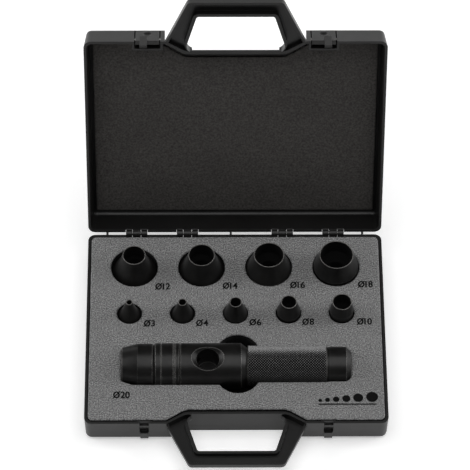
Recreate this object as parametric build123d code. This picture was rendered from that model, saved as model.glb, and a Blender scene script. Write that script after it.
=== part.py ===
"""Drive hole punch kit: a handle that takes screw-in round punches, in a hinged carrying case.

Units are millimetres, +Z is up and the case front (the handle side) faces -Y.
The origin is the centre of the case's underside.  The lid is drawn closed and
then swung open about the hinge, so its rest position is open.
"""
import math
import os

from build123d import *

os.makedirs("parts", exist_ok=True)

# ---------------------------------------------------------------- case
CASE_WIDTH = 165.0
CASE_DEPTH = 126.0
BASE_HEIGHT = 16.5
LID_HEIGHT = 16.0
RIM_GAP = 0.15
PLAN_RADIUS = 4.0
BASE_DRAFT = 2.0
LID_DRAFT = 5.0
BASE_EDGE_RADIUS = 3.2
LID_EDGE_RADIUS = 3.6
WALL = 1.5
FRONT = -CASE_DEPTH / 2
REAR = CASE_DEPTH / 2
RIM = BASE_HEIGHT
LID_RIM = RIM + RIM_GAP
LID_TOP = LID_RIM + LID_HEIGHT

# finger recess in the front wall, behind the carrying handle
RECESS_OUTER_HALF = 38.5
RECESS_INNER_HALF = 27.0
RECESS_DEPTH = 6.2
RECESS_RADIUS = 9.0
SCOOP_START = 1.5
SCOOP_LEAN = 38.0
SCOOP_WALL = 2.0

# floor of the base, panel of the lid and the rounding inside their corners
FLOOR = 1.5
PANEL = 1.5
BASE_INNER_RADIUS = 1.6
LID_INNER_RADIUS = 2.4
RIM_CORNER_RADIUS = 2.0

# ---------------------------------------------------------------- carrying handle
HANDLE_DROP = 1.6
HANDLE_REACH = 25.3
HANDLE_ROOT_HALF = 38.0
HANDLE_GRIP_HALF = 25.8
HANDLE_CORNER_RADIUS = 3.0
HANDLE_BASE_THICK = 4.4
HANDLE_LID_THICK = 6.0
HANDLE_EDGE_RADIUS = 2.2
HANDLE_FLOOR = 1.6
HANDLE_OUTER_WALL = 1.3
GRIP_WIDTH = 8.8
OPENING_ROOT_HALF = 28.2
OPENING_GRIP_HALF = 21.0
OPENING_ROOT_RADIUS = 4.5
OPENING_GRIP_RADIUS = 1.5
OPENING_LIP = 1.6
HANDLE_GAP = 0.3

# ---------------------------------------------------------------- hinge
HINGE_Y = REAR + 0.8
HINGE_Z = RIM
LID_OPEN_DEG = 109.0
KNUCKLE_RADIUS = 2.2
KNUCKLE_CLEARANCE = 0.3
HINGE_STATIONS = (-55.3, -26.7, 26.7, 55.3)
BASE_KNUCKLE = 3.5
LID_KNUCKLE = 4.6
KNUCKLE_GAP = 0.2
PIN_RADIUS = 1.0
LID_BORE_RADIUS = 1.06
BASE_BORE_RADIUS = 1.02
STOP_RIB_X = (-71.8, -2.3, 71.8)
STOP_RIB_WIDTH = 1.2

# ---------------------------------------------------------------- latches
LATCH_X = 50.0
LATCH_PAD_INNER = 41.4
LATCH_PAD_OUTER = 54.4
LATCH_PAD_THICK = 2.6
LATCH_PAD_BOTTOM = 1.0
LATCH_PAD_TOP = 13.0
LATCH_SIDE_GAP = 0.6
LATCH_HOUSING_WALL = 1.2
LATCH_HOUSING_BOTTOM = 1.4
LATCH_DIMPLE_RADIUS = 3.6
LATCH_DIMPLE_OUT = 2.0
LATCH_POCKET_DEPTH = 5.4
LATCH_POCKET_TOP = 13.4
LATCH_PIVOT_UP = 7.0
LATCH_PIVOT_IN = 3.1
LATCH_BARREL_RADIUS = 1.6
LATCH_PIN_RADIUS = 0.75
LATCH_BORE_RADIUS = 0.81
LATCH_PIN_HOLE_RADIUS = 0.77
LATCH_PIN_REACH = 1.5
LATCH_PIN_HOLE_REACH = 1.6
LATCH_ARM_WIDTH = 4.0
LATCH_ARM_THICK = 1.5
LATCH_HOOK_DOWN = 6.4
SLOT_WIDTH = 5.0
SLOT_DEPTH = 1.4
SLOT_HEIGHT = 9.0
LEDGE_TOP = 2.8
LEDGE_BOTTOM = 4.4
LEDGE_PROUD = 1.0

# ---------------------------------------------------------------- foams
FOAM_PROUD = 0.8
FOAM_CLEARANCE = 0.35
RECESS_CLEARANCE = 0.9
SHEET_THICK = 1.5
BACKING_TOP = 2.5
BACKING_MARGIN = 3.5
FOAM_TOP = RIM + FOAM_PROUD
LID_FOAM_THICK = 1.5
LID_FOAM_GAP = 0.1
LID_FOAM_TO_HOUSING = 0.4
LID_FOAM_HALF = 78.2
LID_FOAM_REAR_MARGIN = 5.5
LID_FOAM_FRONT_MARGIN = 4.0

# ---------------------------------------------------------------- loose punches
LARGE_PITCH = 37.55
LARGE_ROW_Y = 40.2
LARGE_SIZES = (12, 14, 16, 18)
LARGE_RADIUS = 12.5
LARGE_BODY = 18.6
LARGE_SPIGOT_RADIUS = 7.85
LARGE_ABOVE = 11.4
LARGE_HOLE_RADIUS = 13.0
SMALL_PITCH = 29.35
SMALL_ROW_Y = 9.0
SMALL_SIZES = (3, 4, 6, 8, 10)
SMALL_RADIUS = 6.45
SMALL_BODY = 16.5
SMALL_SPIGOT_RADIUS = 4.4
SMALL_ABOVE = 10.5
SMALL_HOLE_RADIUS = 6.88
SMALL_BORE_RADIUS = 2.9
CUTTING_LAND = 0.35
REST_GAP = 0.05
PUNCH_CHAMFER = 0.8
THREAD_RELIEF = 0.4
THREAD_RELIEF_LENGTH = 1.2
LARGE_SPIGOT = FOAM_TOP + LARGE_ABOVE - LARGE_BODY - BACKING_TOP - REST_GAP
SMALL_SPIGOT = FOAM_TOP + SMALL_ABOVE - SMALL_BODY - BACKING_TOP - REST_GAP

# ---------------------------------------------------------------- handle tool
TOOL_Y = -25.2
TOOL_Z = FOAM_TOP - 2.0
TIP_X = -62.4
COLLAR_X = -44.8
COLLAR_LENGTH = 14.2
COLLAR_GROOVES = (3.9, 10.6, 11.6)
HOLDER_X = COLLAR_X + COLLAR_LENGTH
COLLAR_RADIUS = 12.75
SHOULDER_X = 2.8
SHOULDER_LENGTH = 3.2
KNURL_X = 6.2
KNURL_ROOT_RADIUS = 10.85
KNURL_CREST = 0.3
KNURL_END_X = 49.3
HEAD_X = 51.2
HEAD_RADIUS = 10.65
HEAD_CHAMFER_X = 60.2
HEAD_FACE_RADIUS = 8.3
TOOL_END_X = 62.6
NECK_RADIUS = 10.3
HOLDER_SOCKET_DEPTH = 8.0
COLLAR_NOSE = 7.5
COLLAR_FRONT_CHAMFER = 0.9
JOINT_CHAMFER = 0.4
GROOVE_DEPTH = 0.3
NOSE_CHAMFER = 0.6
SOCKET_END_GAP = 0.8
WINDOW_X = -15.4
WINDOW_RADIUS = 6.25
WINDOW_MOUTH_RADIUS = 8.9
WINDOW_TILT_DEG = 11.0
WINDOW_BOTTOM = -8.5
SLUG_BORE_RADIUS = 5.0
SOCKET_RADIUS = 7.95
FACE_GAP = 0.1
POCKET_CLEARANCE = 0.25
POCKET_TAPER = 6.0
FINGER_SLOT_X = 1.1
FINGER_SLOT_Y = -24.6
FINGER_SLOT_WIDTH = 24.0
FINGER_SLOT_LENGTH = 38.0


# ---------------------------------------------------------------- general shapes
def block(x0, x1, y0, y1, z0, z1):
    """Box between two corners."""
    return Pos(x0, y0, z0) * Box(x1 - x0, y1 - y0, z1 - z0, align=Align.MIN)


def bar_x(x0, x1, y, z, radius):
    """Round bar along X."""
    return Pos((x0 + x1) / 2, y, z) * Rot(0, 90, 0) * Cylinder(radius, x1 - x0)


def prism_x(points, x0, x1):
    """Outline in (y, z) extruded from x0 to x1."""
    outline = make_face(Polyline([(x0, y, z) for y, z in points], close=True))
    return extrude(outline, amount=x1 - x0, dir=(1, 0, 0))


def level_edges(solid, z):
    """Edges that lie in the horizontal plane at height z."""
    return [e for e in solid.edges()
            if abs(e.center().Z - z) < 1e-3 and e.bounding_box().size.Z < 1e-3]


def save(node, shape, color):
    """Write one sub-part to its own STEP file."""
    shape.label = node
    shape.color = Color(*color)
    export_step(shape, f"parts/{node}.step")


# ---------------------------------------------------------------- shared case shapes
def frustum(inset, rim_z, end_z, draft):
    """Rounded box that narrows with the wall draft from the rim to its far face."""
    rim = RectangleRounded(CASE_WIDTH - 2 * inset, CASE_DEPTH - 2 * inset, PLAN_RADIUS - inset * 0.6)
    return extrude(Pos(0, 0, rim_z) * rim, amount=end_z - rim_z, taper=draft)


def recess_outline(grow):
    """Plan outline of the finger recess, grown outwards."""
    slope_half = RECESS_OUTER_HALF + grow
    floor_half = RECESS_INNER_HALF + grow * 0.4
    mouth_y = FRONT - 0.5 + grow * 0.3
    floor_y = FRONT + RECESS_DEPTH + grow
    far_y = FRONT - 20
    line = FilletPolyline(
        (-slope_half, far_y), (-slope_half, mouth_y), (-floor_half, floor_y),
        (floor_half, floor_y), (slope_half, mouth_y), (slope_half, far_y),
        radius=(RIM_CORNER_RADIUS, RECESS_RADIUS, RECESS_RADIUS, RIM_CORNER_RADIUS))
    closing = Line((slope_half, far_y), (-slope_half, far_y))
    return make_face([line, closing])


def recess(wall, rim_z, end_z):
    """Finger recess of the base, with upright walls."""
    return extrude(Pos(0, 0, rim_z) * recess_outline(wall), amount=rim_z - end_z, dir=(0, 0, -1))


def scoop(wall, rim_z, end_z):
    """Finger recess of the lid: upright at the rim, then leaning back towards the panel."""
    knee_z = rim_z + SCOOP_START
    upright = extrude(Pos(0, 0, rim_z) * recess_outline(wall), amount=SCOOP_START)
    rise = end_z - knee_z
    leaning = extrude(
        Pos(0, 0, knee_z) * recess_outline(wall), amount=rise / math.cos(math.radians(SCOOP_LEAN)),
        dir=(0, math.sin(math.radians(SCOOP_LEAN)), math.cos(math.radians(SCOOP_LEAN))))
    return upright + leaning


base_outer = fillet(level_edges(frustum(0, RIM, 0, BASE_DRAFT), 0), BASE_EDGE_RADIUS)
base_outer -= recess(0, RIM, 0)
base_cavity = frustum(WALL, RIM, FLOOR, BASE_DRAFT) - recess(WALL, RIM, FLOOR)
base_cavity = fillet(level_edges(base_cavity, FLOOR), BASE_INNER_RADIUS)

lid_inner_z = LID_TOP - PANEL
lid_outer = frustum(0, LID_RIM, LID_TOP, LID_DRAFT)
lid_outer = fillet(level_edges(lid_outer, LID_TOP), LID_EDGE_RADIUS) - scoop(0, LID_RIM, LID_TOP + 1)


def lid_space(gap):
    """Inside of the lid, kept the given gap away from its walls."""
    space = frustum(WALL + gap, LID_RIM, lid_inner_z, LID_DRAFT)
    space = fillet(level_edges(space, lid_inner_z), LID_INNER_RADIUS)
    return space - scoop(SCOOP_WALL + gap, LID_RIM, lid_inner_z + 1)


lid_cavity = lid_space(0)


# ---------------------------------------------------------------- carrying handle
def handle_outline(inset=0.0):
    """Trapezoid of the handle; its root runs back into the front wall."""
    root_y = FRONT + RECESS_DEPTH + 3
    grip_y = FRONT - HANDLE_REACH + inset
    slope = (HANDLE_ROOT_HALF - HANDLE_GRIP_HALF) / HANDLE_REACH
    root_half = HANDLE_ROOT_HALF - inset * 1.1
    grip_half = HANDLE_GRIP_HALF - inset * 1.1 + inset * slope
    line = FilletPolyline(
        (-root_half, root_y), (-root_half, FRONT), (-grip_half, grip_y),
        (grip_half, grip_y), (root_half, FRONT), (root_half, root_y),
        radius=(1.0, HANDLE_CORNER_RADIUS, HANDLE_CORNER_RADIUS, 1.0))
    return make_face([line, Line((root_half, root_y), (-root_half, root_y))])


def opening_outline(grow=0.0, back=0.5):
    """Hand opening between the grip and the recessed front wall."""
    rear_y = FRONT + RECESS_DEPTH + back
    grip_y = FRONT - HANDLE_REACH + GRIP_WIDTH - grow
    root_half = OPENING_ROOT_HALF + grow
    grip_half = OPENING_GRIP_HALF + grow
    line = FilletPolyline(
        (-root_half, rear_y), (-grip_half, grip_y), (grip_half, grip_y), (root_half, rear_y),
        radius=(OPENING_ROOT_RADIUS + grow, OPENING_GRIP_RADIUS + grow,
                OPENING_GRIP_RADIUS + grow, OPENING_ROOT_RADIUS + grow), close=True)
    return make_face(line)


def handle_half(rim_z, thick, *kept_clear):
    """One half of the carrying handle: a channel-shaped loop on the front of a shell."""
    up = 1 if thick > 0 else -1
    plate = extrude(Pos(0, 0, rim_z) * handle_outline(), amount=abs(thick), dir=(0, 0, up))
    plate = fillet(level_edges(plate, rim_z + thick), HANDLE_EDGE_RADIUS)
    depth = abs(thick) - HANDLE_FLOOR
    channel = extrude(Pos(0, 0, rim_z) * handle_outline(HANDLE_OUTER_WALL), amount=depth, dir=(0, 0, up))
    lip = extrude(Pos(0, 0, rim_z) * opening_outline(OPENING_LIP), amount=depth, dir=(0, 0, up))
    opening = extrude(Pos(0, 0, rim_z) * opening_outline(), amount=abs(thick), dir=(0, 0, up))
    behind = extrude(
        Pos(0, FRONT + RECESS_DEPTH, rim_z)
        * Rectangle(2 * (OPENING_ROOT_HALF - OPENING_ROOT_RADIUS), 2 * RECESS_DEPTH),
        amount=abs(thick), dir=(0, 0, up))
    half = plate - (channel - lip) - opening - behind
    for space in kept_clear:
        half -= space
    return half


# ---------------------------------------------------------------- hinge
def knuckle_spans(station):
    """X spans of the base, lid and base knuckles at one hinge station."""
    half = LID_KNUCKLE / 2
    inner = half + KNUCKLE_GAP
    outer = inner + BASE_KNUCKLE
    return (station - outer, station - inner), (station - half, station + half), \
        (station + inner, station + outer)


def knuckle(span, side):
    """Barrel and web of one knuckle; side is -1 for the base and 1 for the lid."""
    x0, x1 = span
    barrel = bar_x(x0, x1, HINGE_Y, HINGE_Z, KNUCKLE_RADIUS)
    low, high = sorted((HINGE_Z + side * RIM_GAP, HINGE_Z + side * KNUCKLE_RADIUS))
    web = block(x0, x1, REAR - WALL * 0.8, HINGE_Y, low, high)
    return barrel + web


def knuckle_notch(span):
    """Clearance for a knuckle of the other shell."""
    x0, x1 = span
    radius = KNUCKLE_RADIUS + KNUCKLE_CLEARANCE
    return bar_x(x0 - KNUCKLE_GAP, x1 + KNUCKLE_GAP, HINGE_Y, HINGE_Z, radius)


def hinge_bore(radius):
    """The bores of all the hinge stations."""
    reach = LID_KNUCKLE / 2 + KNUCKLE_GAP + BASE_KNUCKLE
    return [bar_x(s - reach, s + reach, HINGE_Y, HINGE_Z, radius) for s in HINGE_STATIONS]


def swing(shape):
    """Turn a shape of the closed lid to the open rest position."""
    return shape.rotate(Axis((0, HINGE_Y, HINGE_Z), (1, 0, 0)), -LID_OPEN_DEG)


def close_up(shape):
    """Turn a shape drawn on the open lid back to the closed position."""
    return shape.rotate(Axis((0, HINGE_Y, HINGE_Z), (1, 0, 0)), LID_OPEN_DEG)


def stop_rib(x):
    """Gusset under the open lid that meets the rear wall of the base."""
    face_y = REAR + 0.06
    outline = [
        (face_y, HINGE_Z - 2.8), (face_y, HINGE_Z - 0.3),
        (HINGE_Y + 1.45, HINGE_Z + 1.1), (HINGE_Y + 5.4, HINGE_Z + 0.5)]
    return prism_x(outline, x - STOP_RIB_WIDTH / 2, x + STOP_RIB_WIDTH / 2)


# ---------------------------------------------------------------- base shell
def latch_catch(x):
    """Raised rib under the catch ledge, following the front wall."""
    proud = frustum(-LEDGE_PROUD * 0.9, RIM, 0, BASE_DRAFT)
    proud = fillet(level_edges(proud, 0), BASE_EDGE_RADIUS)
    half = LATCH_ARM_WIDTH / 2 + 0.2
    rib = block(x - half, x + half, FRONT - 3, FRONT + 6, 0, RIM - SLOT_HEIGHT)
    return (proud & rib) - base_cavity


def catch_backing(x):
    """Local thickening of the front wall behind the catch slot."""
    half = SLOT_WIDTH / 2 + WALL
    return block(x - half, x + half, FRONT + 0.5, FRONT + SLOT_DEPTH + WALL,
                 RIM - SLOT_HEIGHT - WALL, RIM)


def catch_slot(x):
    """Slot in the front wall that takes the latch arm, less its ledge."""
    half = SLOT_WIDTH / 2
    floor_y = FRONT + SLOT_DEPTH
    slot = block(x - half, x + half, FRONT - 2, floor_y, RIM - SLOT_HEIGHT, RIM)
    ledge = block(x - half, x + half, floor_y - LEDGE_PROUD, floor_y, RIM - LEDGE_BOTTOM, RIM - LEDGE_TOP)
    return slot - ledge


def make_base_shell():
    shell = base_outer - base_cavity
    shell += handle_half(RIM - HANDLE_DROP, -HANDLE_BASE_THICK, base_outer, base_cavity)
    for station in HINGE_STATIONS:
        left, middle, right = knuckle_spans(station)
        shell -= knuckle_notch(middle)
        shell += knuckle(left, -1)
        shell += knuckle(right, -1)
    for bore in hinge_bore(BASE_BORE_RADIUS):
        shell -= bore
    for x in (-LATCH_X, LATCH_X):
        shell += catch_backing(x)
        shell += latch_catch(x)
        shell -= catch_slot(x)
    return shell


# ---------------------------------------------------------------- lid shell
def mirrored(x0, x1, side):
    """X span on the left (-1) or right (1) side, in rising order."""
    return tuple(sorted((x0 * side, x1 * side)))


def latch_box(side, grow, depth, bottom, top):
    """Block over one latch, grown sideways from the edges of its pad."""
    x0, x1 = mirrored(LATCH_PAD_INNER - grow, LATCH_PAD_OUTER + grow, side)
    return block(x0, x1, FRONT - 3, FRONT + depth, LID_RIM + bottom, LID_RIM + top)


def latch_housing(side):
    """Walls of the pocket that holds one latch."""
    wall = LATCH_HOUSING_WALL
    return latch_box(side, LATCH_SIDE_GAP + wall, LATCH_POCKET_DEPTH + wall,
                     LATCH_HOUSING_BOTTOM, LATCH_POCKET_TOP + wall) & lid_outer


def latch_pocket(side):
    """Space for one latch, open to the front and at the rim."""
    return latch_box(side, LATCH_SIDE_GAP, LATCH_POCKET_DEPTH, -1, LATCH_POCKET_TOP)


PIVOT_Y = FRONT + LATCH_PIVOT_IN
PIVOT_Z = LID_RIM + LATCH_PIVOT_UP


def latch_pin(side, radius=LATCH_PIN_RADIUS, reach=LATCH_PIN_REACH):
    """Pivot pin of one latch, or its hole, let into both walls of the pocket."""
    x0, x1 = mirrored(LATCH_PAD_INNER - reach, LATCH_PAD_OUTER + reach, side)
    return bar_x(x0, x1, PIVOT_Y, PIVOT_Z, radius)


def make_lid_shell():
    shell = lid_outer - lid_cavity
    below_rim = frustum(-HANDLE_GAP, LID_RIM, RIM - 2 * HANDLE_DROP, 0) \
        - recess(-HANDLE_GAP, LID_RIM, RIM - 2 * HANDLE_DROP)
    shell += handle_half(LID_RIM - HANDLE_DROP, HANDLE_LID_THICK, lid_outer, lid_cavity, below_rim)
    for side in (-1, 1):
        shell += latch_housing(side)
        shell -= latch_pocket(side)
        shell -= latch_pin(side, LATCH_PIN_HOLE_RADIUS, LATCH_PIN_HOLE_REACH)
    for station in HINGE_STATIONS:
        left, middle, right = knuckle_spans(station)
        shell -= knuckle_notch(left)
        shell -= knuckle_notch(right)
        shell += knuckle(middle, 1)
    for bore in hinge_bore(LID_BORE_RADIUS):
        shell -= bore
    for x in STOP_RIB_X:
        shell += close_up(stop_rib(x))
    return shell


def make_lid_foam():
    sheet = block(-LID_FOAM_HALF, LID_FOAM_HALF, FRONT + LID_FOAM_FRONT_MARGIN,
                  REAR - LID_FOAM_REAR_MARGIN, lid_inner_z - LID_FOAM_THICK, lid_inner_z)
    sheet = sheet & lid_space(LID_FOAM_GAP)
    around = LATCH_HOUSING_WALL + LID_FOAM_TO_HOUSING
    for side in (-1, 1):
        sheet -= latch_box(side, LATCH_SIDE_GAP + around, LATCH_POCKET_DEPTH + around, 0, LID_HEIGHT)
    return sheet


# ---------------------------------------------------------------- latches
def make_latch(side):
    """Rocking latch: a plate flush with the wall, a pivot barrel behind it and a hooked arm."""
    x0, x1 = mirrored(LATCH_PAD_INNER, LATCH_PAD_OUTER, side)
    plate = lid_outer & block(
        x0, x1, FRONT, FRONT + LATCH_PAD_THICK, LID_RIM + LATCH_PAD_BOTTOM, LID_RIM + LATCH_PAD_TOP)
    neck = block(x0, x1, FRONT + 1.5, PIVOT_Y, PIVOT_Z - 1.0, PIVOT_Z + 1.0)
    dimple_z = LID_RIM + LATCH_PAD_TOP - LATCH_DIMPLE_RADIUS
    dimple = Pos((x0 + x1) / 2, FRONT - LATCH_DIMPLE_OUT, dimple_z) * Sphere(LATCH_DIMPLE_RADIUS)
    barrel = bar_x(x0, x1, PIVOT_Y, PIVOT_Z, LATCH_BARREL_RADIUS)
    arm_outer = FRONT - LATCH_ARM_THICK + 0.1
    arm_inner = arm_outer + LATCH_ARM_THICK
    nose_y = arm_inner + 1.0
    down = LID_RIM - LATCH_HOOK_DOWN
    arm = prism_x(
        [(FRONT + 1.0, LID_RIM + 5.0), (arm_outer, LID_RIM + 3.6), (arm_outer, down),
         (arm_inner - 0.2, down), (nose_y, down + 1.2), (nose_y, down + 1.65),
         (arm_inner, down + 1.65), (arm_inner, LID_RIM + 0.5), (FRONT + 1.2, LID_RIM + 0.8)],
        side * LATCH_X - LATCH_ARM_WIDTH / 2, side * LATCH_X + LATCH_ARM_WIDTH / 2)
    bore = bar_x(x0, x1, PIVOT_Y, PIVOT_Z, LATCH_BORE_RADIUS)
    return plate + neck + barrel + arm - bore - dimple


# ---------------------------------------------------------------- base foam
def through_foam(outline):
    """Outline cut straight through the foam, down to its backing."""
    return extrude(Pos(0, 0, BACKING_TOP) * outline, amount=FOAM_TOP + 1 - BACKING_TOP)


def tool_trough():
    """Trough that follows the outline of the handle tool."""
    gap = POCKET_CLEARANCE
    edge = 10 + CUTTING_LAND
    knurl = KNURL_ROOT_RADIUS + KNURL_CREST
    half = [
        (TIP_X - gap, edge + gap), (TIP_X + POCKET_TAPER, COLLAR_RADIUS + gap),
        (SHOULDER_X + gap, COLLAR_RADIUS + gap), (SHOULDER_X + SHOULDER_LENGTH, knurl + gap),
        (KNURL_END_X + gap, knurl + gap), (HEAD_X, HEAD_RADIUS + gap),
        (HEAD_CHAMFER_X + gap, HEAD_RADIUS + gap), (TOOL_END_X + gap, HEAD_FACE_RADIUS + gap)]
    outline = half + [(x, -y) for x, y in reversed(half)]
    return through_foam(Pos(0, TOOL_Y) * make_face(Polyline(outline, close=True)))


def punch_hole(x, y, radius):
    """Round hole that a loose punch stands in."""
    return through_foam(Pos(x, y) * Circle(radius))


def large_x(index):
    return (index - (len(LARGE_SIZES) - 1) / 2) * LARGE_PITCH


def small_x(index):
    return (index - (len(SMALL_SIZES) - 1) / 2) * SMALL_PITCH


def foam_cuts():
    """Everything that is cut out of the foam."""
    cuts = [tool_trough()]
    slot = Rot(0, 0, 90) * SlotOverall(FINGER_SLOT_LENGTH, FINGER_SLOT_WIDTH)
    cuts.append(through_foam(Pos(FINGER_SLOT_X, FINGER_SLOT_Y) * slot))
    for i in range(len(LARGE_SIZES)):
        cuts.append(punch_hole(large_x(i), LARGE_ROW_Y, LARGE_HOLE_RADIUS))
    for i in range(len(SMALL_SIZES)):
        cuts.append(punch_hole(small_x(i), SMALL_ROW_Y, SMALL_HOLE_RADIUS))
    for x in (-LATCH_X, LATCH_X):
        half = SLOT_WIDTH / 2 + WALL + FOAM_CLEARANCE
        cuts.append(block(x - half, x + half, FRONT, FRONT + SLOT_DEPTH + WALL + FOAM_CLEARANCE,
                          RIM - SLOT_HEIGHT - WALL - FOAM_CLEARANCE, RIM))
    return cuts


def foam_plate(inset, at_recess, bottom, top):
    """Drafted plate with the plan of the case, between two heights."""
    plate = frustum(inset, top, bottom, BASE_DRAFT)
    return plate - recess(at_recess, top, bottom)


def make_foam():
    """Foam insert, then its printed top sheet."""
    inset = WALL + FOAM_CLEARANCE
    whole = foam_plate(inset, WALL + RECESS_CLEARANCE, BACKING_TOP, FOAM_TOP)
    for cut in foam_cuts():
        whole -= cut
    sheet_z = FOAM_TOP - SHEET_THICK
    above = block(-CASE_WIDTH, CASE_WIDTH, -CASE_DEPTH, CASE_DEPTH, sheet_z, FOAM_TOP)
    return whole - above, whole & above


def make_backing():
    """Thin foam under the insert, which the handle and the punches stand on."""
    inset = WALL + BACKING_MARGIN
    return foam_plate(inset, inset, FLOOR, BACKING_TOP)


# ---------------------------------------------------------------- punches
def punch_profile(size, radius, body, spigot_radius, spigot, bore_radius):
    """Half section of a punch, cutting edge at the origin and spigot along +X."""
    cut = size / 2
    edge = cut + CUTTING_LAND
    flare = radius - edge
    taper = 5.0 + 1.7 * flare
    mid = 0.5 - 0.14 * min(flare / 6.0, 1.0)
    straight_bore = min(9.0, 3.0 + size / 2)
    cone_end = straight_bore + abs(cut - bore_radius) + 1.0
    curve = ThreePointArc((0, edge), (taper / 2, edge + flare * mid), (taper, radius))
    rest = Polyline(
        (taper, radius), (body - PUNCH_CHAMFER, radius), (body, radius - PUNCH_CHAMFER),
        (body, spigot_radius - THREAD_RELIEF),
        (body + THREAD_RELIEF_LENGTH, spigot_radius - THREAD_RELIEF),
        (body + THREAD_RELIEF_LENGTH + THREAD_RELIEF, spigot_radius),
        (body + spigot - PUNCH_CHAMFER, spigot_radius),
        (body + spigot, spigot_radius - PUNCH_CHAMFER),
        (body + spigot, bore_radius), (cone_end, bore_radius), (straight_bore, cut), (0, cut), (0, edge))
    return make_face([curve, rest])


def turned(profile):
    """Solid of revolution about the X axis."""
    return revolve(profile, Axis.X)


def standing(shape, x, y, tip_z):
    """Stand a turned piece up with its tip at the given point."""
    return Pos(x, y, tip_z) * Rot(0, 90, 0) * shape


def large_profile(size):
    return punch_profile(
        size, LARGE_RADIUS, LARGE_BODY, LARGE_SPIGOT_RADIUS, LARGE_SPIGOT, SLUG_BORE_RADIUS)


def small_profile(size):
    return punch_profile(
        size, SMALL_RADIUS, SMALL_BODY, SMALL_SPIGOT_RADIUS, SMALL_SPIGOT, SMALL_BORE_RADIUS)


# ---------------------------------------------------------------- handle tool
def on_tool_axis(shape):
    return Pos(0, TOOL_Y, TOOL_Z) * shape


def make_collar():
    """Adaptor collar with three turned grooves and a nose for the handle socket."""
    x0 = COLLAR_X
    x1 = HOLDER_X - FACE_GAP
    socket_x = x0 + LARGE_SPIGOT + SOCKET_END_GAP
    nose_x = x1 + COLLAR_NOSE
    groove = GROOVE_DEPTH
    points = [
        (x0, SOCKET_RADIUS), (x0, COLLAR_RADIUS - COLLAR_FRONT_CHAMFER),
        (x0 + COLLAR_FRONT_CHAMFER, COLLAR_RADIUS)]
    for distance in COLLAR_GROOVES:
        x = x0 + distance
        points += [(x - groove, COLLAR_RADIUS), (x, COLLAR_RADIUS - groove), (x + groove, COLLAR_RADIUS)]
    points += [
        (x1 - JOINT_CHAMFER, COLLAR_RADIUS), (x1, COLLAR_RADIUS - JOINT_CHAMFER),
        (x1, LARGE_SPIGOT_RADIUS), (nose_x - NOSE_CHAMFER, LARGE_SPIGOT_RADIUS),
        (nose_x, LARGE_SPIGOT_RADIUS - NOSE_CHAMFER),
        (nose_x, SLUG_BORE_RADIUS), (socket_x, SLUG_BORE_RADIUS), (socket_x, SOCKET_RADIUS)]
    return on_tool_axis(turned(make_face(Polyline(points, close=True))))


def make_holder():
    """Striking handle with punch socket, knurled grip and slug window."""
    x0 = HOLDER_X
    socket_x = x0 + HOLDER_SOCKET_DEPTH
    points = [
        (x0, SOCKET_RADIUS), (x0, COLLAR_RADIUS - JOINT_CHAMFER), (x0 + JOINT_CHAMFER, COLLAR_RADIUS),
        (SHOULDER_X, COLLAR_RADIUS), (SHOULDER_X + SHOULDER_LENGTH, NECK_RADIUS),
        (KNURL_X - 0.1, NECK_RADIUS), (KNURL_X + 0.4, KNURL_ROOT_RADIUS),
        (KNURL_END_X, KNURL_ROOT_RADIUS), (KNURL_END_X + 0.3, NECK_RADIUS),
        (HEAD_X, HEAD_RADIUS), (HEAD_CHAMFER_X, HEAD_RADIUS),
        (TOOL_END_X, HEAD_FACE_RADIUS), (TOOL_END_X, 0), (WINDOW_X, 0),
        (WINDOW_X, SLUG_BORE_RADIUS), (socket_x, SLUG_BORE_RADIUS), (socket_x, SOCKET_RADIUS)]
    body = turned(make_face(Polyline(points, close=True)))
    window_depth = COLLAR_RADIUS + 2 - WINDOW_BOTTOM
    bore = Pos(0, 0, WINDOW_BOTTOM + window_depth / 2) * Cylinder(WINDOW_RADIUS, window_depth)
    mouth_height = WINDOW_MOUTH_RADIUS - WINDOW_RADIUS
    mouth_top = mouth_height + 2.0
    mouth = Pos(0, 0, COLLAR_RADIUS - mouth_height + mouth_top / 2) \
        * Cone(WINDOW_RADIUS, WINDOW_RADIUS + mouth_top, mouth_top)
    window = Pos(WINDOW_X, 0, 0) * Rot(WINDOW_TILT_DEG, 0, 0) * (bore + mouth)
    return on_tool_axis(body - window)


# ---------------------------------------------------------------- write the sub-parts
PLASTIC = (0.12, 0.12, 0.12)
FOAM = (0.35, 0.35, 0.35)
DARK_FOAM = (0.18, 0.17, 0.16)
STEEL = (0.2, 0.2, 0.22)
PIN_STEEL = (0.6, 0.6, 0.62)

save("base_shell", make_base_shell(), PLASTIC)
save("lid_shell", swing(make_lid_shell()), PLASTIC)
foam_insert, printed_sheet = make_foam()
save("foam_insert", foam_insert, FOAM)
save("printed_foam_sheet", printed_sheet, FOAM)
save("foam_backing", make_backing(), FOAM)
save("lid_foam", swing(make_lid_foam()), DARK_FOAM)
save("hinge_pins", Compound(children=hinge_bore(PIN_RADIUS)), PIN_STEEL)
save("latch_pins", Compound(children=[swing(latch_pin(side)) for side in (-1, 1)]), PIN_STEEL)
save("latch_left", swing(make_latch(-1)), PLASTIC)
save("latch_right", swing(make_latch(1)), PLASTIC)

save("holder_body", make_holder(), STEEL)
save("adaptor_collar", make_collar(), STEEL)
tip_20 = Pos(TIP_X, TOOL_Y, TOOL_Z) * turned(punch_profile(
    20, LARGE_RADIUS, COLLAR_X - FACE_GAP - TIP_X, LARGE_SPIGOT_RADIUS, LARGE_SPIGOT, SLUG_BORE_RADIUS))
save("punch_20", tip_20, STEEL)
for i, size in enumerate(LARGE_SIZES):
    punch = turned(large_profile(size))
    save(f"punch_{size:02d}", standing(punch, large_x(i), LARGE_ROW_Y, FOAM_TOP + LARGE_ABOVE), STEEL)
for i, size in enumerate(SMALL_SIZES):
    punch = turned(small_profile(size))
    save(f"punch_{size:02d}", standing(punch, small_x(i), SMALL_ROW_Y, FOAM_TOP + SMALL_ABOVE), STEEL)
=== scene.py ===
"""Looks of the drive hole punch kit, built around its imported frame. Metres, +Z up, front towards -Y."""
import math

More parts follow.
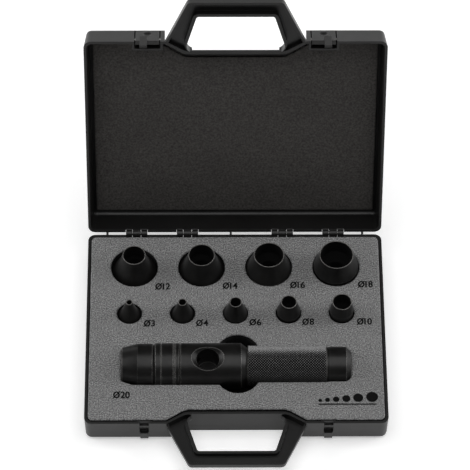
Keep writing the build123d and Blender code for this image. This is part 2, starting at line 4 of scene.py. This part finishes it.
import bmesh
import bpy
from mathutils import Matrix, Vector, noise


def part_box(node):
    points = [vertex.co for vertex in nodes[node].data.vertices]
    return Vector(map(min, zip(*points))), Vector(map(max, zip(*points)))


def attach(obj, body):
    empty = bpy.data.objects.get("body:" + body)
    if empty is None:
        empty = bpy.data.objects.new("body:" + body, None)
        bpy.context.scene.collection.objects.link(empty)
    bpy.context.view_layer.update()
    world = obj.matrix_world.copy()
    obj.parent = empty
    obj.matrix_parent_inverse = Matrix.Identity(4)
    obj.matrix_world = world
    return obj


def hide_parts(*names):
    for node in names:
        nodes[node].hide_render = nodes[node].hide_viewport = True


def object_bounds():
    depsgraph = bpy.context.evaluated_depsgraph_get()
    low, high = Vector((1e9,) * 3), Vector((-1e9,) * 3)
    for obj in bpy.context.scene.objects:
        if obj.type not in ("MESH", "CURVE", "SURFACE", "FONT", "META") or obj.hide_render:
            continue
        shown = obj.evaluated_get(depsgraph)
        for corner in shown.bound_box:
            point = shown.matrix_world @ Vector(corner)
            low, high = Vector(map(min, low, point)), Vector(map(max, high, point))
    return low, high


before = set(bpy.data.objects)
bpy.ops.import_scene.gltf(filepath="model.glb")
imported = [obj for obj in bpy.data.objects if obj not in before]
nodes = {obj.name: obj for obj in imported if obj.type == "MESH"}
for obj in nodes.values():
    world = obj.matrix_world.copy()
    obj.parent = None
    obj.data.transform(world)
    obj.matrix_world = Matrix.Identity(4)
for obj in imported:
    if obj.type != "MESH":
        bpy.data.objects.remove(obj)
cad_box = [list(corner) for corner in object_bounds()]
MM = 0.001
SIZES_LARGE = (12, 14, 16, 18)
SIZES_SMALL = (3, 4, 6, 8, 10)


def punch(size):
    """Name of the node of a punch."""
    return f"punch_{size:02d}"


def centre(node):
    """Middle of a node's box."""
    low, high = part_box(node)
    return (low + high) / 2


# ---------------------------------------------------------------- places read from the frame
sheet_low, sheet_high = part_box("printed_foam_sheet")
holder_low, holder_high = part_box("holder_body")
FOAM_TOP = sheet_high.z
TOOL_CENTRE = centre("punch_20")
TOOL_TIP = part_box("punch_20")[0].x

# The grip starts and ends this far from the two ends of the handle.
KNURL_START = holder_low.x + 37.3 * MM
KNURL_END = holder_high.x - 13.4 * MM
KNURL_ROOT = 10.91 * MM
KNURL_CREST = 11.25 * MM
KNURL_TEETH = 48
KNURL_ROW = 0.725 * MM  # from one row of teeth to the next
KNURL_FLAT = 0.36  # size of a tooth's flat top, as a share of its foot


# ---------------------------------------------------------------- material helpers
class Graph:
    """A node tree and short ways to wire it."""

    def __init__(self, tree, space):
        self.tree = tree
        self.coord = self.add("ShaderNodeTexCoord").outputs[space]

    def add(self, kind, **values):
        """New node; each value goes to the socket of that name, or else to the setting of that name."""
        node = self.tree.nodes.new(kind)
        for key, value in values.items():
            if key in node.inputs:
                node.inputs[key].default_value = value
            else:
                setattr(node, key, value)
        return node

    def link(self, out, target):
        self.tree.links.new(out, target)

    def feed(self, value, socket):
        """Wire an output to the socket, or set the socket to a plain value."""
        if hasattr(value, "is_output"):
            self.link(value, socket)
        else:
            socket.default_value = value

    def maths(self, kind, a, b):
        node = self.add("ShaderNodeMath", operation=kind)
        self.feed(a, node.inputs[0])
        self.feed(b, node.inputs[1])
        return node.outputs[0]

    def remap(self, value, start, end, low=0.0, high=1.0):
        """The value taken from start..end to low..high, and no further."""
        node = self.add("ShaderNodeMapRange")
        for key, number in (("From Min", start), ("From Max", end), ("To Min", low), ("To Max", high)):
            node.inputs[key].default_value = number
        self.link(value, node.inputs["Value"])
        return node.outputs["Result"]

    def band(self, axis, start, end):
        """Mask that rises from 0 to 1 between two places along an axis."""
        split = self.add("ShaderNodeSeparateXYZ")
        self.link(self.coord, split.inputs["Vector"])
        return self.remap(split.outputs[axis], start, end)


class Shader(Graph):
    """A material with one Principled shader."""

    def __init__(self, name, color, roughness, metallic=0.0, specular=0.5):
        self.mat = bpy.data.materials.new(name)
        self.mat.use_nodes = True
        super().__init__(self.mat.node_tree, "Object")
        self.bsdf = self.tree.nodes["Principled BSDF"]
        self.set("Base Color", (*color, 1.0))
        self.set("Roughness", roughness)
        self.set("Metallic", metallic)
        self.set("Specular IOR Level", specular)

    def set(self, key, value):
        """Set or wire one socket of the shader."""
        self.feed(value, self.bsdf.inputs[key])

    def stretched(self, scale):
        """Object coordinates with a different scale on each axis."""
        mapping = self.add("ShaderNodeMapping", Scale=scale)
        self.link(self.coord, mapping.inputs["Vector"])
        return mapping.outputs["Vector"]

    def noise(self, scale, detail=3.0, rough=0.55, vector=None):
        node = self.add("ShaderNodeTexNoise", Scale=scale, Detail=detail, Roughness=rough)
        self.link(vector or self.coord, node.inputs["Vector"])
        return node.outputs["Fac"]

    def cells(self, scale):
        node = self.add("ShaderNodeTexVoronoi", Scale=scale)
        self.link(self.coord, node.inputs["Vector"])
        return node.outputs["Distance"]

    def ramp(self, fac, *stops):
        """Colour ramp with (position, grey or colour) stops."""
        node = self.add("ShaderNodeValToRGB")
        ramp = node.color_ramp
        while len(ramp.elements) < len(stops):
            ramp.elements.new(0.5)
        for element, (place, value) in zip(ramp.elements, stops):
            element.position = place
            color = value if isinstance(value, tuple) else (value, value, value)
            element.color = (*color, 1.0)
        self.link(fac, node.inputs["Fac"])
        return node.outputs["Color"]

    def mix(self, fac, a, b, kind="MIX"):
        """Blend of a colour output with another output or a plain colour."""
        node = self.add("ShaderNodeMix", data_type="RGBA", blend_type=kind)
        first, second = (socket for socket in node.inputs if socket.type == "RGBA")
        self.feed(fac, node.inputs[0])
        self.feed(a, first)
        self.feed((*b, 1.0) if isinstance(b, tuple) else b, second)
        return next(socket for socket in node.outputs if socket.type == "RGBA")

    def roughness(self, fac, low, high):
        """Roughness between two values."""
        self.set("Roughness", self.remap(fac, 0.0, 1.0, low, high))

    def rounded(self, radius):
        """Normals that soften sharp edges by the given radius."""
        return self.add("ShaderNodeBevel", Radius=radius).outputs["Normal"]

    def edges(self, radius, sharpness=0.93):
        """Mask of the edges, where softened and true normals differ."""
        dot = self.add("ShaderNodeVectorMath", operation="DOT_PRODUCT")
        self.link(self.rounded(radius), dot.inputs[0])
        self.link(self.add("ShaderNodeNewGeometry").outputs["Normal"], dot.inputs[1])
        return self.remap(dot.outputs["Value"], 1.0, sharpness)

    def within(self, x, y, radius):
        """Mask of what is closer than the radius to the upright line through x and y."""
        flat = self.add("ShaderNodeMapping", Location=(-x, -y, 0.0), Scale=(1.0, 1.0, 0.0))
        self.link(self.coord, flat.inputs["Vector"])
        away = self.add("ShaderNodeVectorMath", operation="LENGTH")
        self.link(flat.outputs["Vector"], away.inputs[0])
        return self.maths("LESS_THAN", away.outputs["Value"], radius)

    def bump(self, height, distance, strength, below=None):
        """Relief of the given depth, on top of other normals if they are given."""
        node = self.add("ShaderNodeBump", Distance=distance, Strength=strength)
        self.link(height, node.inputs["Height"])
        if below is not None:
            self.link(below, node.inputs["Normal"])
        self.set("Normal", node.outputs["Normal"])
        return node.outputs["Normal"]


# ---------------------------------------------------------------- materials
def case_plastic(name):
    """Moulded black plastic: fine spark-eroded grain, faint handling marks."""
    s = Shader(name, (0.008, 0.008, 0.008), 0.36, specular=0.38)
    cloudy = s.noise(28.0, 4.0)
    s.set("Base Color", s.ramp(cloudy, (0.3, (0.0062, 0.0060, 0.0059)), (0.75, (0.0100, 0.0097, 0.0094))))
    s.roughness(s.noise(90.0, 5.0), 0.28, 0.46)
    grain = s.bump(s.noise(2600.0, 3.0, 0.6), 0.03 * MM, 0.4, s.rounded(0.4 * MM))
    scuffs = s.noise(60.0, 6.0, 0.7, s.stretched((1.0, 9.0, 1.0)))
    s.bump(scuffs, 0.04 * MM, 0.25, grain)
    return s.mat


def sheet_foam():
    """Grey closed-cell foam sheet: fine speckle of light and dark cells."""
    s = Shader("insert_foam_grey", (0.2, 0.2, 0.2), 0.9, specular=0.2)
    speckle = s.noise(1450.0, 2.0, 0.7)
    blotch = s.noise(260.0, 3.0, 0.5)
    fine = s.ramp(speckle, (0.33, 0.07), (0.5, 0.19), (0.67, 0.40))
    broad = s.ramp(blotch, (0.3, 0.9), (0.7, 1.03))
    s.set("Base Color", s.mix(1.0, fine, broad, "MULTIPLY"))
    pores = s.bump(s.cells(1500.0), 0.12 * MM, 0.5)
    s.bump(s.noise(800.0), 0.10 * MM, 0.5, pores)
    return s.mat


def block_foam():
    """Black foam under the grey sheet, seen inside the cut-outs."""
    s = Shader("insert_foam_black", (0.012, 0.012, 0.012), 0.95, specular=0.15)
    s.set("Base Color", s.ramp(s.noise(900.0), (0.3, 0.006), (0.7, 0.018)))
    s.bump(s.cells(1300.0), 0.15 * MM, 0.6)
    return s.mat


def lid_foam():
    """Dark brownish-grey open-cell foam glued into the lid."""
    s = Shader("lid_foam_dark", (0.1, 0.095, 0.09), 0.92, specular=0.2)
    speckle = s.noise(900.0, 3.0, 0.65)
    blotch = s.noise(45.0, 4.0)
    fine = s.ramp(speckle, (0.3, (0.035, 0.0333, 0.0315)), (0.7, (0.090, 0.0850, 0.0805)))
    broad = s.ramp(blotch, (0.3, 0.86), (0.7, 1.0))
    s.set("Base Color", s.mix(1.0, fine, broad, "MULTIPLY"))
    pores = s.bump(s.cells(1100.0), 0.14 * MM, 0.55)
    s.bump(s.noise(500.0), 0.12 * MM, 0.5, pores)
    return s.mat


def oxide_steel(name, lathe_axis, tone, roughest=0.42, edge=None, bore=None):
    """Black-oxide steel with turning marks around an axis.

    Edge is the place of a ground cutting edge along that axis.  Bore is the axis point and radius of
    an upright bore, inside which shade is painted: the steel goes near black and rougher below the edge.
    """
    ground_width = 0.45 * MM
    # Depths under the cutting edge where the painted shade inside the bore begins and where it is full.
    bore_shade_top, bore_shade_full = 1.0 * MM, 4.0 * MM
    smoothest, bore_shade_roughness = 0.26, 0.56
    s = Shader(name, (0.02, 0.02, 0.02), 0.34, metallic=0.35, specular=0.4)
    cloudy = s.noise(140.0, 5.0, 0.6)
    dark = (0.0085 * tone, 0.0083 * tone, 0.0080 * tone)
    light = (0.0190 * tone, 0.0184 * tone, 0.0178 * tone)
    # Edges are lightened towards bare steel, partly as wear and partly as painted highlight on the chamfers
    # and rims.
    edge_wear_and_highlight = s.maths("MULTIPLY", s.edges(0.5 * MM), s.noise(500.0, 4.0))
    black = s.mix(edge_wear_and_highlight, s.ramp(cloudy, (0.3, dark), (0.72, light)), (0.30, 0.295, 0.285))
    rough = s.remap(s.noise(320.0, 5.0, 0.7), 0.0, 1.0, smoothest, roughest)
    if edge is not None:
        # Every edge is the end farthest from the origin, so the ground rim runs back towards it.
        rim = s.band(lathe_axis, edge - math.copysign(ground_width, edge), edge)
        worn = s.maths("MULTIPLY", rim, s.noise(900.0))
        black = s.mix(worn, black, (0.30, 0.29, 0.28))
        s.set("Metallic", s.maths("ADD", s.maths("MULTIPLY", worn, 0.5), 0.35))
    if bore is not None:
        # Painted shade inside the bore: the near-black colour and the higher roughness stand in for the
        # shadow there.
        bore_shade = s.maths("MULTIPLY", s.within(*bore), s.band("Z", edge - bore_shade_top, edge - bore_shade_full))
        black = s.mix(bore_shade, black, (0.0008, 0.0008, 0.0008))
        rough = s.maths("ADD", rough, s.maths("MULTIPLY", bore_shade, bore_shade_roughness))
    s.set("Base Color", black)
    s.set("Roughness", rough)
    along, across = 1.0, 0.02
    scale = [along if axis == lathe_axis else across for axis in "XYZ"]
    rings = s.noise(3800.0, 2.0, 0.6, s.stretched(scale))
    turned = s.bump(rings, 0.012 * MM, 0.45, s.rounded(0.25 * MM))
    s.bump(s.noise(1500.0), 0.01 * MM, 0.35, turned)
    return s.mat


def knurl_steel(name, gain, lift):
    """Black-oxide knurling with painted light: dark at the front of the grip, bright towards its rear side,
    where the light falls.

    Its brightness across the grip is multiplied by the gain, and the lift is added.
    """
    s = Shader(name, (0.02, 0.02, 0.02), 0.4, metallic=0.2, specular=0.3)
    across = s.band("Y", TOOL_CENTRE.y - KNURL_CREST, TOOL_CENTRE.y + KNURL_CREST)
    # Painted light: brightness rises from the front of the grip to its rear side, standing in for how the
    # light falls there; the lift lightens the whole ramp evenly.
    light_levels = ((0.0, 0.003), (0.12, 0.012), (0.27, 0.005), (0.47, 0.012),
              (0.535, 0.04), (0.6, 0.12), (0.67, 0.26), (0.78, 0.42))
    brightest = 0.75
    painted_light_and_wear = s.ramp(across, *((place, min(level * gain + lift, brightest)) for place, level in light_levels))
    mottle = s.ramp(s.noise(600.0, 4.0), (0.3, 0.7), (0.7, 1.0))
    s.set("Base Color", s.mix(1.0, painted_light_and_wear, mottle, "MULTIPLY"))
    s.roughness(s.noise(900.0, 4.0), 0.32, 0.5)
    s.bump(s.noise(3000.0, 2.0), 0.008 * MM, 0.4)
    return s.mat


def bright_steel():
    """Ground or drawn bright steel."""
    s = Shader("ground_steel", (0.46, 0.45, 0.44), 0.28, metallic=1.0)
    s.set("Base Color", s.ramp(s.noise(700.0, 4.0), (0.3, (0.34, 0.33, 0.32)), (0.7, (0.55, 0.54, 0.53))))
    s.roughness(s.noise(1200.0, 4.0), 0.2, 0.42)
    s.bump(s.noise(4000.0, 2.0), 0.008 * MM, 0.4)
    return s.mat


def print_ink():
    """Slightly worn black print on foam."""
    s = Shader("print_ink_black", (0.004, 0.004, 0.004), 0.85, specular=0.12)
    s.set("Base Color", s.ramp(s.noise(2200.0, 2.0), (0.35, 0.001), (0.78, 0.008)))
    s.bump(s.noise(1500.0, 2.0), 0.05 * MM, 0.4)
    return s.mat


def pale_floor():
    """Plain pale table top, lifted a little by its own light."""
    s = Shader("pale_floor", (0.9, 0.9, 0.9), 0.9, specular=0.1)
    s.set("Base Color", s.ramp(s.noise(2.0), (0.3, 0.89), (0.7, 0.91)))
    s.set("Emission Color", (1.0, 1.0, 1.0, 1.0))
    s.set("Emission Strength", 0.4)
    return s.mat


TOOL_TONE, LOOSE_TONE = 0.75, 0.8
PLASTIC = case_plastic("case_plastic_black")
LATCH = case_plastic("latch_plastic_black")
SHEET = sheet_foam()
BLOCK = block_foam()
LID_FOAM = lid_foam()
HANDLE = oxide_steel("oxide_steel_handle", "X", TOOL_TONE)
MOUNTED = oxide_steel("oxide_steel_punch_20", "X", TOOL_TONE, edge=TOOL_TIP)
# Flanks of the teeth carry the painted light across the grip. Their flat tops are lighter still, partly as
# worn bare steel and partly as painted glint.
KNURL = knurl_steel("oxide_steel_knurl", gain=0.5, lift=0.0)
CRESTS_WORN_AND_GLINTING = knurl_steel("knurl_crests_worn_and_painted_glint", gain=3.4, lift=0.20)
BRIGHT = bright_steel()
INK = print_ink()


def loose_steel(size):
    """Material of one loose punch, which stands upright with its cutting edge on top."""
    node = punch(size)
    axis = centre(node)
    mouth = (size / 2 + 0.2) * MM
    return oxide_steel("oxide_steel_" + node, "Z", LOOSE_TONE, 0.4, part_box(node)[1].z,
                       (axis.x, axis.y, mouth))


def paint(obj, material):
    obj.data.materials.clear()
    obj.data.materials.append(material)


for name, material in (
        ("base_shell", PLASTIC), ("lid_shell", PLASTIC), ("latch_left", LATCH), ("latch_right", LATCH),
        ("hinge_pins", BRIGHT), ("latch_pins", BRIGHT), ("holder_body", HANDLE),
        ("adaptor_collar", HANDLE), ("punch_20", MOUNTED)):
    paint(nodes[name], material)
for size in SIZES_LARGE + SIZES_SMALL:
    paint(nodes[punch(size)], loose_steel(size))


# ---------------------------------------------------------------- foams
BROAD_RIPPLE, FINE_RIPPLE = 60.0, 330.0


def soft_copy(node, name, material, body, voxel, relief, seed):
    """Foam piece grown from its CAD solid: remeshed, edges relaxed, surface gently uneven."""
    piece = bpy.data.objects.new(name, nodes[node].data.copy())
    bpy.context.scene.collection.objects.link(piece)
    remesh = piece.modifiers.new("remesh", "REMESH")
    remesh.mode = "VOXEL"
    remesh.voxel_size = voxel
    relax = piece.modifiers.new("relax", "SMOOTH")
    relax.factor = 0.5
    relax.iterations = 2
    depsgraph = bpy.context.evaluated_depsgraph_get()
    mesh = bpy.data.meshes.new_from_object(piece.evaluated_get(depsgraph))
    piece.modifiers.clear()
    piece.data = mesh
    offset = Vector((seed * 3.1, seed * 1.7, seed * 2.3))
    normals = [v.normal.copy() for v in mesh.vertices]
    for vertex, normal in zip(mesh.vertices, normals):
        broad = noise.noise(vertex.co * BROAD_RIPPLE + offset)
        fine = noise.noise(vertex.co * FINE_RIPPLE + offset)
        vertex.co += normal * ((broad + 0.5 * fine) * relief - relief)
    mesh.materials.clear()
    mesh.materials.append(material)
    mesh.shade_smooth()
    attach(piece, body)
    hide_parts(node)


soft_copy("printed_foam_sheet", "foam_sheet", SHEET, "case", 0.6 * MM, 0.04 * MM, 1)
soft_copy("foam_insert", "foam_block", BLOCK, "case", 1.0 * MM, 0.05 * MM, 2)
soft_copy("foam_backing", "foam_underlay", BLOCK, "case", 0.5 * MM, 0.02 * MM, 4)
soft_copy("lid_foam", "lid_foam_pad", LID_FOAM, "lid", 0.75 * MM, 0.06 * MM, 3)


# ---------------------------------------------------------------- knurled grip
def add_mesh(name, bm, material, body):
    """Turn a bmesh into a piece that rides on a body."""
    mesh = bpy.data.meshes.new(name)
    bm.to_mesh(mesh)
    bm.free()
    piece = bpy.data.objects.new(name, mesh)
    bpy.context.scene.collection.objects.link(piece)
    piece.data.materials.append(material)
    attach(piece, body)
    return piece


def knurl():
    """Band of raised diamonds with small flat tops around the grip of the handle."""
    bm = bmesh.new()

    def spot(x, turn, radius):
        x = min(max(x, KNURL_START), KNURL_END)
        angle = turn * 2 * math.pi / KNURL_TEETH
        return bm.verts.new((x, TOOL_CENTRE.y + radius * math.cos(angle),
                             TOOL_CENTRE.z + radius * math.sin(angle)))

    corners = ((-KNURL_ROW, 0.0), (0.0, 0.5), (KNURL_ROW, 0.0), (0.0, -0.5))
    rows = int((KNURL_END - KNURL_START) / KNURL_ROW)
    for row in range(rows + 1):
        x = KNURL_START + row * KNURL_ROW
        for tooth in range(KNURL_TEETH):
            turn = tooth + 0.5 * (row % 2)
            foot = [spot(x + dx, turn + dt, KNURL_ROOT) for dx, dt in corners]
            top = [spot(x + dx * KNURL_FLAT, turn + dt * KNURL_FLAT, KNURL_CREST) for dx, dt in corners]
            # The flat top takes the second material, whose brightness is partly wear and partly painted
            # glint.
            bm.faces.new(top).material_index = 1
            for i in range(4):
                k = (i + 1) % 4
                bm.faces.new((foot[i], foot[k], top[k], top[i]))
    bmesh.ops.remove_doubles(bm, verts=bm.verts, dist=0.002 * MM)
    bmesh.ops.recalc_face_normals(bm, faces=bm.faces)
    grip = add_mesh("knurled_grip", bm, KNURL, "holder")
    grip.data.materials.append(CRESTS_WORN_AND_GLINTING)


knurl()


# ---------------------------------------------------------------- print on the foam
INK_Z = FOAM_TOP + 0.05 * MM
LABEL_HEIGHT = 4.4 * MM
SIGN_WIDTH = 3.7 * MM
SIGN_GAP = 0.5 * MM
STROKE = 0.86 * MM
SLASH_REACH = (1.02, 1.08)  # half size of the slash, as a share of the ring's
SLASH_LIFT = 0.01 * MM  # keeps the slash from lying in one plane with the ring
CAP_HEIGHT = 0.72  # height of a digit for a font size of 1
DIGIT_WIDTH, DIGIT_HEIGHT = 0.83, 0.95  # share of the font's own width and height
DIGIT_SWELL = 0.12 * MM
BOLD = 0.16 * MM  # sideways step between the two copies of a number
BOLD_DROP = 0.1  # how far the left copy lies lower, as a share of that step

# From the axis of a punch to the middle of its mark, in millimetres.
MARK_OFFSETS = {
    12: (15.925, -13.3), 14: (15.875, -12.9), 16: (15.925, -12.5), 18: (16.175, -12.1),
    3: (11.1, -7.0), 4: (10.85, -6.8), 6: (10.9, -6.4), 8: (10.75, -6.1), 10: (12.5, -6.0)}
MOUNTED_MARK_Y = TOOL_CENTRE.y - 19.8 * MM

# The dots and their bar keep these distances from the right and front edges of the foam.
DOTS_LEFT = sheet_high.x - 36.05 * MM
DOTS_BOTTOM = sheet_low.y + 11.25 * MM
DOT_RADII = [size * MM for size in (1.0, 1.35, 1.75, 2.2, 2.7, 3.25)]
DOT_GAP = 1.6 * MM
BAR_RIGHT = sheet_high.x - 4.45 * MM
BAR_BOTTOM, BAR_TOP = sheet_low.y + 9.45 * MM, sheet_low.y + 10.25 * MM


def slashed_ring(left, y):
    """Flat diameter sign: an oval ring with a slash that reaches a little past it."""
    bm = bmesh.new()
    steps = 40
    centre_x, half_x, half_y = left + SIGN_WIDTH / 2, SIGN_WIDTH / 2, LABEL_HEIGHT / 2
    loops = []
    for shrink in (0.0, STROKE):
        loops.append([bm.verts.new((
            centre_x + (half_x - shrink) * math.cos(2 * math.pi * k / steps),
            y + (half_y - shrink) * math.sin(2 * math.pi * k / steps), INK_Z)) for k in range(steps)])
    for k in range(steps):
        n = (k + 1) % steps
        bm.faces.new((loops[0][k], loops[0][n], loops[1][n], loops[1][k]))
    reach_x, reach_y = half_x * SLASH_REACH[0], half_y * SLASH_REACH[1]
    half = STROKE / 2
    bm.faces.new([bm.verts.new((centre_x + dx, y + dy, INK_Z + SLASH_LIFT)) for dx, dy in (
        (-reach_x - half, -reach_y), (-reach_x + half, -reach_y),
        (reach_x + half, reach_y), (reach_x - half, reach_y))])
    return bm


def digits(text):
    """Flat mesh of a number in the built-in font, slightly swollen and narrowed."""
    curve = bpy.data.curves.new("size_mark", "FONT")
    curve.body = text
    curve.size = LABEL_HEIGHT / CAP_HEIGHT
    curve.align_x = "LEFT"
    curve.align_y = "CENTER"
    curve.offset = DIGIT_SWELL
    source = bpy.data.objects.new("size_mark", curve)
    bpy.context.scene.collection.objects.link(source)
    mesh = bpy.data.meshes.new_from_object(source.evaluated_get(bpy.context.evaluated_depsgraph_get()))
    bpy.data.objects.remove(source)
    mesh.transform(Matrix.Diagonal((DIGIT_WIDTH, DIGIT_HEIGHT, 1.0, 1.0)))
    return mesh


def label(size, x, y):
    """Size mark printed on the foam next to its punch: diameter sign and number."""
    mesh = digits(str(size))
    xs = [v.co.x for v in mesh.vertices]
    ys = [v.co.y for v in mesh.vertices]
    left = x - (SIGN_WIDTH + SIGN_GAP + max(xs) - min(xs)) / 2
    mesh.transform(Matrix.Translation((
        left + SIGN_WIDTH + SIGN_GAP - min(xs), y - (min(ys) + max(ys)) / 2, INK_Z)))
    bm = slashed_ring(left, y)
    for step in (-BOLD, BOLD):  # a copy to the left and a hair lower, then one back in place
        mesh.transform(Matrix.Translation((step, 0, step * BOLD_DROP)))
        bm.from_mesh(mesh)
    add_mesh(f"size_mark_{size}", bm, INK, "case")


def pictogram():
    """Generic mark near the front right corner: a rising row of round holes over a thin bar."""
    bm = bmesh.new()
    x = DOTS_LEFT
    for radius in DOT_RADII:
        x += radius
        bmesh.ops.create_circle(bm, cap_ends=True, segments=48, radius=radius,
                                matrix=Matrix.Translation((x, DOTS_BOTTOM + radius, INK_Z)))
        x += radius + DOT_GAP
    corners = ((DOTS_LEFT, BAR_BOTTOM), (BAR_RIGHT, BAR_BOTTOM),
               (BAR_RIGHT, BAR_TOP), (DOTS_LEFT, BAR_TOP))
    bm.faces.new([bm.verts.new((x, y, INK_Z)) for x, y in corners])
    add_mesh("print_mark", bm, INK, "case")


for size, (right, up) in MARK_OFFSETS.items():
    axis = centre(punch(size))
    label(size, axis.x + right * MM, axis.y + up * MM)
label(20, TOOL_TIP, MOUNTED_MARK_Y)
pictogram()


# ---------------------------------------------------------------- floor, light, camera
FLOOR_SIZE, FLOOR_GAP = 8.0, 0.2 * MM
DIM, WALL = 0.10, 0.9  # strength of the studio's light, away from the white wall and from it
WALL_TOP, WALL_FULL = 0.42, 0.22  # upward part of a view direction where the wall starts and is full
WALL_SIDE, WALL_BACK = -0.15, 0.25  # the same for its backward part
CAMERA_AIM = Vector((-0.0006, 0.01955, 0.0762))
CAMERA_DISTANCE = 1.7366
CAMERA_AZIMUTH = math.radians(-0.9)
CAMERA_ELEVATION = math.radians(54.15)
CAMERA_ROLL = math.radians(0.62)
CAMERA_SENSOR, CAMERA_LENS = 36.0, 246.0


def make_floor():
    bpy.ops.mesh.primitive_plane_add(size=FLOOR_SIZE, location=(0, 0, cad_box[0][2] - FLOOR_GAP))
    floor = bpy.context.object
    floor.name = "floor"
    paint(floor, pale_floor())


def make_world():
    """Dim studio with a white wall low down behind the table, which fades out beside it."""
    world = bpy.data.worlds.new("studio")
    bpy.context.scene.world = world
    world.use_nodes = True
    graph = Graph(world.node_tree, "Generated")
    low_down = graph.band("Z", WALL_TOP, WALL_FULL)
    behind = graph.band("Y", WALL_SIDE, WALL_BACK)
    level = graph.remap(graph.maths("MULTIPLY", low_down, behind), 0.0, 1.0, DIM, WALL)
    background = world.node_tree.nodes["Background"]
    background.inputs["Color"].default_value = (1.0, 1.0, 1.0, 1.0)
    graph.link(level, background.inputs["Strength"])


def area_light(name, place, target, width, depth, power):
    """Rectangular softbox that faces its target."""
    light = bpy.data.lights.new(name, "AREA")
    light.energy = power
    light.shape = "RECTANGLE"
    light.size = width
    light.size_y = depth
    lamp = bpy.data.objects.new(name, light)
    lamp.location = place
    lamp.rotation_euler = (Vector(target) - Vector(place)).to_track_quat("-Z", "Y").to_euler()
    bpy.context.scene.collection.objects.link(lamp)


def make_camera():
    level = math.cos(CAMERA_ELEVATION)
    back = Vector((math.sin(CAMERA_AZIMUTH) * level, -math.cos(CAMERA_AZIMUTH) * level,
                   math.sin(CAMERA_ELEVATION)))
    camera = bpy.data.objects.new("camera", bpy.data.cameras.new("camera"))
    bpy.context.scene.collection.objects.link(camera)
    camera.data.sensor_width = CAMERA_SENSOR
    camera.data.lens = CAMERA_LENS
    camera.data.clip_start = 0.05
    camera.data.clip_end = 20.0
    turn = (-back).to_track_quat("-Z", "Y").to_matrix() @ Matrix.Rotation(CAMERA_ROLL, 3, "Z")
    camera.matrix_world = Matrix.Translation(CAMERA_AIM + back * CAMERA_DISTANCE) @ turn.to_4x4()
    bpy.context.scene.camera = camera


make_floor()
make_world()
area_light("top_softbox", (0.0, -0.28, 2.2), (0.0, -0.28, 0.0), width=2.4, depth=2.3, power=29.0)
for side in (-1, 1):
    area_light("side_softbox", (side * 1.7, 0.35, 0.75), (0.0, 0.03, 0.03), width=1.0, depth=1.1, power=12.0)
make_camera()
bpy.context.scene.view_settings.view_transform = "Standard"
